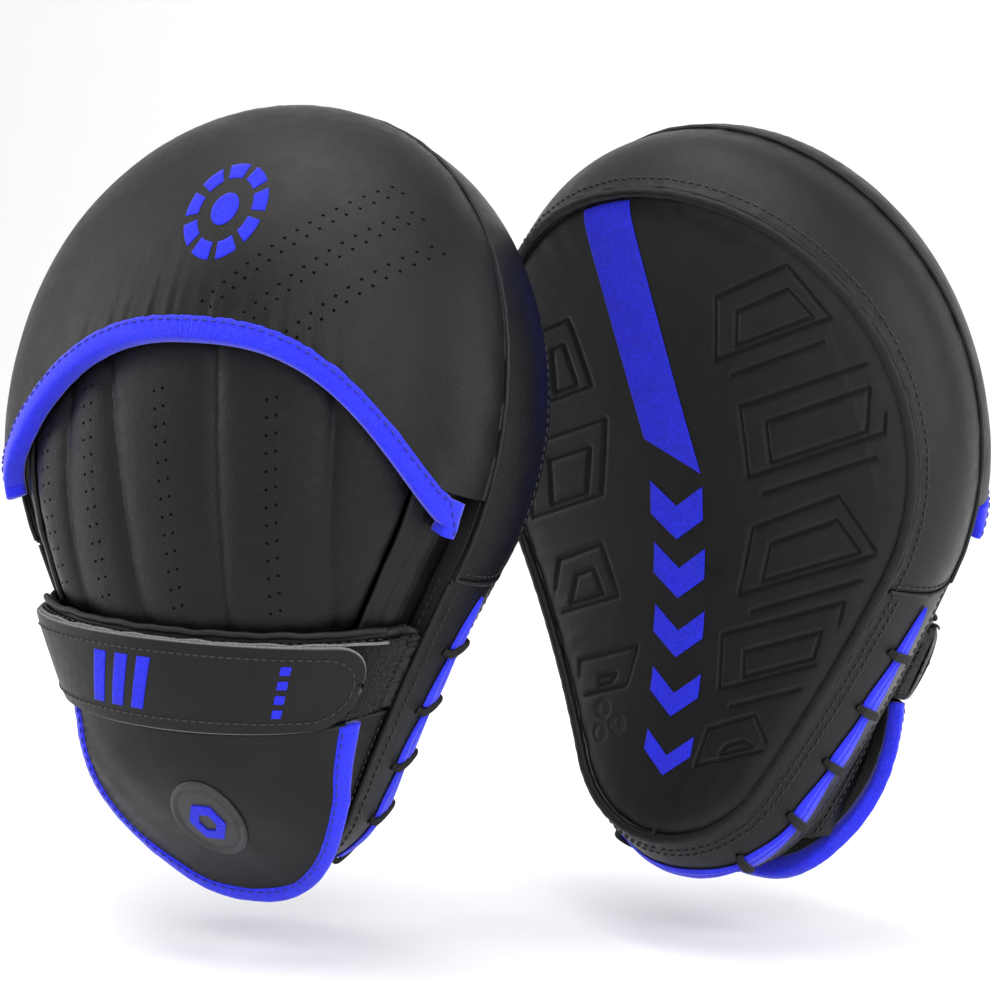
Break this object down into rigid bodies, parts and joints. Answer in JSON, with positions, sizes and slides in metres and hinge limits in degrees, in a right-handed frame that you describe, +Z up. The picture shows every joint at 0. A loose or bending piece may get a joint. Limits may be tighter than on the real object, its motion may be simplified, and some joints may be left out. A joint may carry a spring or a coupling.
{
  "type": "focus mitt pair",
  "caption": "Pair of curved padded hook-and-jab mitts with hooded hand pockets, wrist straps that peel open and cuff flaps that lift.",
  "frame": {"origin": "middle of the hand pocket of the right mitt, where the palm is held", "axes": "+Z up towards the fingertips, -Y towards the striking face of the right mitt and the back of the left mitt, +X towards the thumb side of both mitts"},
  "size_m": [0.3386, 0.2491, 0.2843],
  "materials": {
    "black_leather": "smooth coated leather with a soft sheen",
    "face_leather": "smooth coated leather with pressed lines",
    "soft_leather": "fine grained coated leather",
    "strap_leather": "smooth coated leather with stitched edges",
    "grip_leather": "fine grained coated leather",
    "piping": "coated leather rolled over cord",
    "blue_binding": "brushed woven tape",
    "fleece": "brushed fleece",
    "loop_pile": "woven loop pile",
    "webbing": "flat woven cord",
    "sponge": "open sponge foam",
    "shock_gel": "smooth rubber gel sheet",
    "rubber_badge": "moulded soft rubber"
  },
  "bodies": {
    "root": {"left_face_panel": "face_leather", "left_face_piping": "piping", "left_front_foam": "sponge", "left_shock_sheet": "shock_gel", "left_back_foam": "sponge", "left_palm_panel": "soft_leather", "left_palm_grip": "grip_leather", "left_wall_upper": "black_leather", "left_wall_lower": "black_leather", "left_hood_skin": "black_leather", "left_hood_foam": "sponge", "left_hood_binding": "blue_binding", "left_hand_pad": "soft_leather", "left_thumb_gusset": "soft_leather", "left_pinky_gusset": "soft_leather", "left_cuff_yoke": "soft_leather", "left_thumb_cuff_side": "soft_leather", "left_pinky_cuff_side": "soft_leather", "left_loop_band": "loop_pile", "left_strap_fold": "strap_leather", "left_lace_tape": "blue_binding", "left_lace_loops": "webbing", "right_face_panel": "face_leather", "right_face_piping": "piping", "right_front_foam": "sponge", "right_shock_sheet": "shock_gel", "right_back_foam": "sponge", "right_palm_panel": "soft_leather", "right_palm_grip": "grip_leather", "right_wall_upper": "black_leather", "right_wall_lower": "black_leather", "right_hood_skin": "black_leather", "right_hood_foam": "sponge", "right_hood_binding": "blue_binding", "right_hand_pad": "soft_leather", "right_thumb_gusset": "soft_leather", "right_pinky_gusset": "soft_leather", "right_cuff_yoke": "soft_leather", "right_thumb_cuff_side": "soft_leather", "right_pinky_cuff_side": "soft_leather", "right_loop_band": "loop_pile", "right_strap_fold": "strap_leather", "right_lace_tape": "blue_binding", "right_lace_loops": "webbing"},
    "left_cuff_flap_body": {"left_cuff_flap": "black_leather", "left_flap_lining": "fleece", "left_flap_binding": "blue_binding", "left_badge": "rubber_badge"},
    "left_strap_base_body": {"left_strap_base": "strap_leather"},
    "left_strap_tip_body": {"left_strap_tip": "strap_leather"},
    "right_cuff_flap_body": {"right_cuff_flap": "black_leather", "right_flap_lining": "fleece", "right_flap_binding": "blue_binding", "right_badge": "rubber_badge"},
    "right_strap_base_body": {"right_strap_base": "strap_leather"},
    "right_strap_tip_body": {"right_strap_tip": "strap_leather"}
  },
  "joints": [
    {"name": "left_strap_peel", "type": "hinge", "parent": "root", "child": "left_strap_base_body", "pos_m": [-0.21743, -0.18061, -0.04841], "axis": [0.376, 0.0855, -0.9227], "range_deg": [0, 105]},
    {"name": "left_strap_curl", "type": "hinge", "parent": "left_strap_base_body", "child": "left_strap_tip_body", "pos_m": [-0.13826, -0.2119, -0.05088], "axis": [-0.0773, 0.0897, -0.993], "range_deg": [0, 42.5]},
    {"name": "left_cuff_flap_lift", "type": "hinge", "parent": "root", "child": "left_cuff_flap_body", "pos_m": [-0.152, -0.2093, -0.06662], "axis": [-1, 0, 0], "range_deg": [0, 28]},
    {"name": "right_strap_peel", "type": "hinge", "parent": "root", "child": "right_strap_base_body", "pos_m": [-0.06298, 0.0178, -0.04841], "axis": [-0.3346, 0.1917, 0.9227], "range_deg": [0, 105]},
    {"name": "right_strap_curl", "type": "hinge", "parent": "right_strap_base_body", "child": "right_strap_tip_body", "pos_m": [0.02188, 0.02458, -0.05088], "axis": [0.1002, 0.0631, 0.993], "range_deg": [0, 42.5]},
    {"name": "right_cuff_flap_lift", "type": "hinge", "parent": "root", "child": "right_cuff_flap_body", "pos_m": [0.00798, 0.0261, -0.06662], "axis": [0.9563, -0.2924, 0], "range_deg": [0, 28]}
  ],
  "couplings": [
    {"joint": "left_strap_curl", "follows": "left_strap_peel", "ratio": 0.4},
    {"joint": "right_strap_curl", "follows": "right_strap_peel", "ratio": 0.4}
  ]
}
